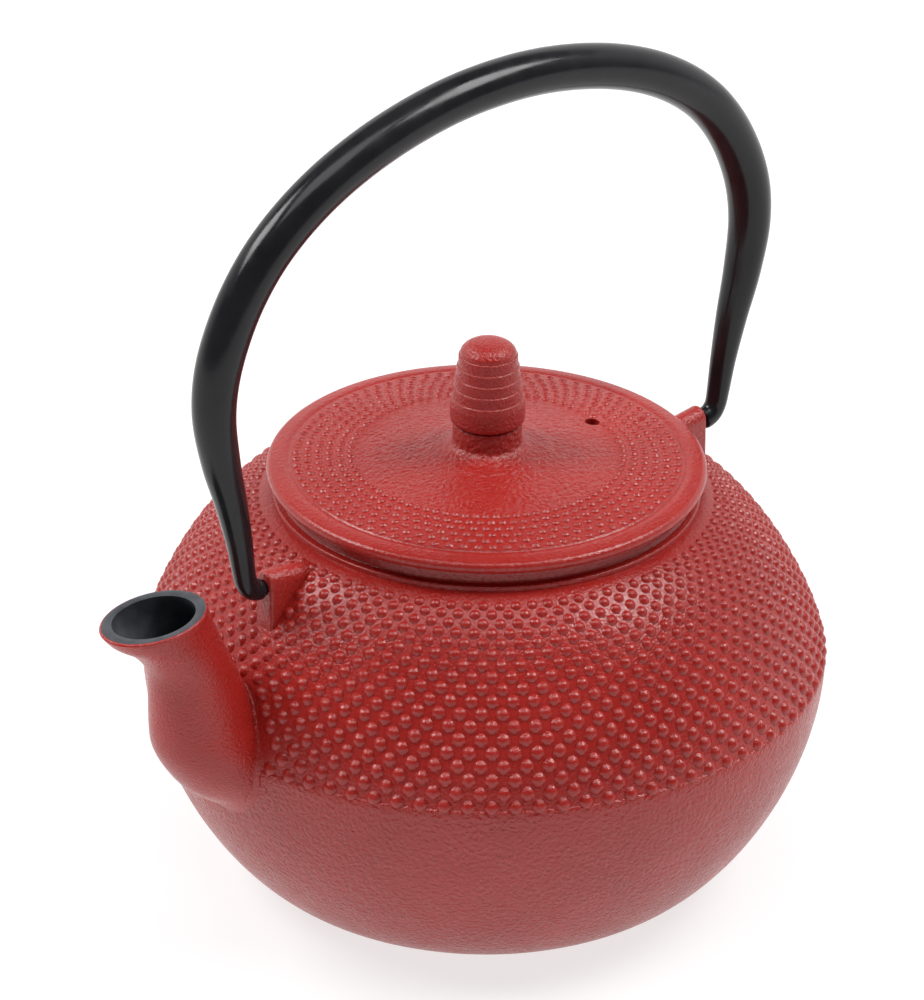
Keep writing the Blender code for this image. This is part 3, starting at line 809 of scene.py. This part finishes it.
# ---------------------------------------------------------------- lid and knob

def lid_top(radius):
    """Height of the lid's conical top at a radius outside the boss."""
    points = [(r * MM, h * MM) for r, h in LID_SLOPE]
    for (r0, h0), (r1, h1) in zip(points, points[1:]):
        if radius <= r1:
            return h0 + (h1 - h0) * (radius - r0) / (r1 - r0)
    return points[-1][1]


def lid_outline():
    """Top from the screw's hole to the rim, and the underside from the rim back to the hole."""
    flare_width, flare_height = LID_FLARE
    boss = [(SCREW_HOLE, LID_BOSS_TOP), (LID_BOSS_RADIUS, LID_BOSS_TOP)]
    flare = [(LID_BOSS_RADIUS + flare_width * (1 - cos(pi / 2 * i / 10)),
              LID_CROWN + flare_height * (1 - sin(pi / 2 * i / 10))) for i in range(11)]
    inner, outer = LID_SLOPE[0][0] * MM, LID_SLOPE[-1][0] * MM
    radii = [inner + (outer - inner) * i / LID_CONE_STEPS for i in range(1, LID_CONE_STEPS + 1)]
    cone = [(radius, lid_top(radius)) for radius in radii]
    groove = [(radius * MM, LID_RIM_TOP + rise * MM) for radius, rise in LID_GROOVE]
    edge = [(LID_RADIUS - LID_RIM_ROUND * (1 - cos(angle)),
             LID_RIM_TOP - LID_RIM_DROP - LID_RIM_ROUND * (1 - sin(angle)))
            for angle in (pi / 2 * (1 - i / 6) for i in range(13))]
    under = rounded([edge.pop()] + [(r * MM, h * MM) for r, h in LID_UNDER], LID_UNDER_EDGE, 4)
    top = rounded(boss + [flare[0]], 0.4 * MM, 4)[:-1] + flare + cone + groove + edge
    return top, under


def build_lid():
    """Conical lid with a rim bead, a boss, a spigot below and a steam vent."""
    top, under = lid_outline()
    materials = [2 if radius < LID_PEEL_RADIUS else 0 for radius, height in top]
    materials += [0] * LID_RED_UNDER + [1] * (len(under) - LID_RED_UNDER)
    bm = bmesh.new()
    turned(bm, top + under, LID_TURNS, materials, closed=True)
    lid = finish_piece("lid_casting", bm, (RED_SMOOTH, SLATE, RED_PEEL), "lid", ("lid",))
    vent = [[(VENT_PLACE[0] + x, VENT_PLACE[1] + y, z) for x, y, z in ring_of(VENT_RADIUS, height, HOLE_SIDES)]
            for height in VENT_CUT]
    cut(lid, cutter_from(vent, "vent_cutter"))


def build_lid_dots():
    """Staggered rings of small dots inside the rim, left out round the vent."""
    bm = bmesh.new()
    slope = Vector((LID_LEAN, 0.0, 1.0)).normalized()
    for row in range(DOT_ROWS):
        radius = DOT_START - DOT_PITCH * row
        size = DOT_RADIUS * (1 - DOT_SHRINK + DOT_SHRINK * radius / DOT_START)
        for i in range(DOTS_PER_ROW):
            angle = 2 * pi * (i + 0.5 * (row % 2)) / DOTS_PER_ROW
            place = Vector((radius * cos(angle), radius * sin(angle), lid_top(radius)))
            if (place.xy - Vector(VENT_PLACE)).length < VENT_RADIUS + size:
                continue
            normal = Vector((slope.x * cos(angle), slope.x * sin(angle), slope.z))
            add_dome(bm, place, normal, size, DOT_HEIGHT, DOT_PROFILE, DOT_SIDES)
    finish_piece("lid_dots", bm, (RED_SMOOTH,), "lid", ("lid",), DOME_ANGLE)


def build_knob():
    """Domed cap, terraces that widen downwards and a plain band, with a bore for the screw."""
    bore, bore_top = KNOB_BORE
    depth, rise, drop = TERRACE_LEDGE
    radius, height = TERRACE_START
    outline = [(r * MM, h * MM) for r, h in KNOB_CAP]
    for i in range(KNOB_TERRACES):
        edge, level = radius + TERRACE_TAPER * i, height - TERRACE_PITCH * i
        outline += [(edge - depth, level + rise), (edge, level - drop)]
    outline += [(r * MM, h * MM) for r, h in KNOB_BAND]
    outline = rounded(outline + [(bore, KNOB_FOOT)], KNOB_EDGE, 3)
    outline += [(bore, bore_top), (0.0, bore_top)]
    bm = bmesh.new()
    turned(bm, outline, KNOB_TURNS)
    finish_piece("knob_casting", bm, (RED_FINE,), "lid", ("lid_knob",))


# ---------------------------------------------------------------- infuser

def add_wire(bm, points, radius, closed):
    """Thin four-sided wire through a list of points."""
    rings = []
    count = len(points)
    for i, point in enumerate(points):
        if closed:
            run = points[(i + 1) % count] - points[i - 1]
        else:
            run = points[min(i + 1, count - 1)] - points[max(i - 1, 0)]
        out = Vector((point.x, point.y, 0.0))
        out = out.normalized() if out.length > 1e-6 else Vector((0.0, 1.0, 0.0))
        side = run.cross(out).normalized() if run.cross(out).length > 1e-9 else run.orthogonal().normalized()
        up = side.cross(run).normalized()
        rings.append([point + (side * cos(a) + up * sin(a)) * radius for a in WIRE_ANGLES])
    loops = skin(bm, rings, closed=closed)
    if not closed:
        bm.faces.new(loops[0])
        bm.faces.new(loops[-1])


def build_infuser():
    """Wire mesh wall and floor in place of the plain sheets; the rolled rim and the band stay from the CAD."""
    wall_low, wall_high = (corner[2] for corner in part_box("infuser_wall"))
    radius = BASKET_RADIUS - WALL_INSET
    bm = bmesh.new()
    for i in range(WIRE_COUNT):
        angle = 2 * pi * i / WIRE_COUNT
        foot = Vector((radius * cos(angle), radius * sin(angle), wall_low))
        add_wire(bm, [foot, foot + Vector((0, 0, wall_high - wall_low))], WIRE, False)
    rings = int((wall_high - wall_low) / WIRE_PITCH)
    for k in range(1, rings):
        height = wall_low + (wall_high - wall_low) * k / rings
        add_wire(bm, [Vector(point) for point in ring_of(radius - WIRE, height, HOOP_SIDES)], WIRE, True)
    finish_piece("infuser_mesh", bm, (STEEL_ROUND,), "infuser", ("infuser_wall",))
    floor_low, floor_high = (corner[2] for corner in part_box("infuser_floor"))
    bm = bmesh.new()
    up = Vector((0, 0, 1))
    disc = BASKET_RADIUS - WIRE
    lines = int(2 * disc / WIRE_PITCH)
    for k in range(1, lines):
        across = -disc + 2 * disc * k / lines
        reach = (disc ** 2 - across ** 2) ** 0.5
        low, high = floor_low + WIRE, floor_high - WIRE
        for start, end in (((-reach, across, low), (reach, across, low)),
                           ((across, -reach, high), (across, reach, high))):
            ends = Vector(start), Vector(end)
            side = (ends[1] - ends[0]).normalized().cross(up)
            capped(bm, [[p + (side * cos(t) + up * sin(t)) * WIRE for t in WIRE_ANGLES] for p in ends])
    finish_piece("infuser_floor_mesh", bm, (STEEL_FLAT,), "infuser", ("infuser_floor",))


def dress_cad_nodes():
    """Give the CAD pieces that stay their brushed steel."""
    for name, material in (("infuser_rim", STEEL_ROUND), ("infuser_band", STEEL_ROUND),
                           ("knob_screw", STEEL_FLAT), ("knob_washer", STEEL_FLAT)):
        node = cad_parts[name]
        node.data.materials.clear()
        node.data.materials.append(material)


# ---------------------------------------------------------------- studio

def build_camera():
    data = bpy.data.cameras.new("camera")
    data.lens = CAMERA_LENS
    data.sensor_width = SENSOR
    data.clip_end = 50.0
    camera = bpy.data.objects.new("camera", data)
    bpy.context.scene.collection.objects.link(camera)
    forward = -VIEW_NEAR * cos(CAMERA_ELEVATION) + Vector((0, 0, -sin(CAMERA_ELEVATION)))
    up = VIEW_RIGHT.cross(forward)
    right = VIEW_RIGHT * cos(CAMERA_ROLL) + up * sin(CAMERA_ROLL)
    up = right.cross(forward)
    matrix = Matrix((right, up, -forward)).transposed().to_4x4()
    matrix.translation = CAMERA_PLACE
    camera.matrix_world = matrix
    bpy.context.scene.camera = camera


def add_softbox(name, direction, width, length, watts):
    """Rectangular soft light placed as the camera sees the set, aimed at the pot."""
    right, near, height = (part * LIGHT_REACH for part in direction)
    data = bpy.data.lights.new(name, "AREA")
    data.shape = "RECTANGLE"
    data.size, data.size_y = width, length
    data.energy = watts
    light = bpy.data.objects.new(name, data)
    bpy.context.scene.collection.objects.link(light)
    light.location = VIEW_RIGHT * right + VIEW_NEAR * near + Vector((0, 0, height))
    aim = Vector((0, 0, LIGHT_AIM)) - light.location
    light.rotation_euler = aim.to_track_quat("-Z", "Y").to_euler()


def build_studio():
    """Soft lights at the sides and above, a pale floor, and a sweep behind that fades to a dim room."""
    world = bpy.data.worlds.new("studio")
    bpy.context.scene.world = world
    world.use_nodes = True
    nodes, links = world.node_tree.nodes, world.node_tree.links
    place = nodes.new("ShaderNodeTexCoord").outputs["Generated"]

    def share_along(direction, low, high):
        """From 0 to 1 as the direction looked in turns from low to high along a given one."""
        dot = nodes.new("ShaderNodeVectorMath")
        dot.operation = "DOT_PRODUCT"
        links.new(place, dot.inputs[0])
        dot.inputs[1].default_value = direction
        span = nodes.new("ShaderNodeMapRange")
        span.interpolation_type = "SMOOTHSTEP"
        span.inputs["From Min"].default_value = low
        span.inputs["From Max"].default_value = high
        links.new(dot.outputs["Value"], span.inputs["Value"])
        return span.outputs["Result"]

    behind = share_along(-VIEW_NEAR, -0.2, 0.5)
    low_down = share_along(Vector((0, 0, -1)), -0.62, -0.48)
    sweep = nodes.new("ShaderNodeMath")
    sweep.operation = "MULTIPLY"
    links.new(behind, sweep.inputs[0])
    links.new(low_down, sweep.inputs[1])
    level = nodes.new("ShaderNodeMapRange")
    level.inputs["To Min"].default_value = ROOM_LEVEL
    level.inputs["To Max"].default_value = SWEEP_LEVEL
    links.new(sweep.outputs[0], level.inputs["Value"])
    links.new(level.outputs["Result"], nodes["Background"].inputs["Strength"])
    nodes["Background"].inputs["Color"].default_value = (1.0, 1.0, 1.0, 1.0)
    bm = bmesh.new()
    bmesh.ops.create_grid(bm, x_segments=1, y_segments=1, size=FLOOR_HALF)
    mesh = bpy.data.meshes.new("floor")
    bm.to_mesh(mesh)
    bm.free()
    floor = bpy.data.objects.new("floor", mesh)
    bpy.context.scene.collection.objects.link(floor)
    pale = Surface("pale_floor", (0.32, 0.32, 0.32), 0.9)
    pale.set(Specular_IOR_Level=0.0, Emission_Color=(1.0, 1.0, 1.0, 1.0), Emission_Strength=FLOOR_GLOW)
    mesh.materials.append(pale.material)
    for softbox in SOFTBOXES:
        add_softbox(*softbox)
    bpy.context.scene.view_settings.view_transform = "Standard"


build_camera()
build_studio()
build_pot_shell()
build_spout()
build_hobnails()
build_lug("lug_front", 1)
build_lug("lug_rear", -1)
build_handle()
build_lid()
build_lid_dots()
build_knob()
build_infuser()
dress_cad_nodes()
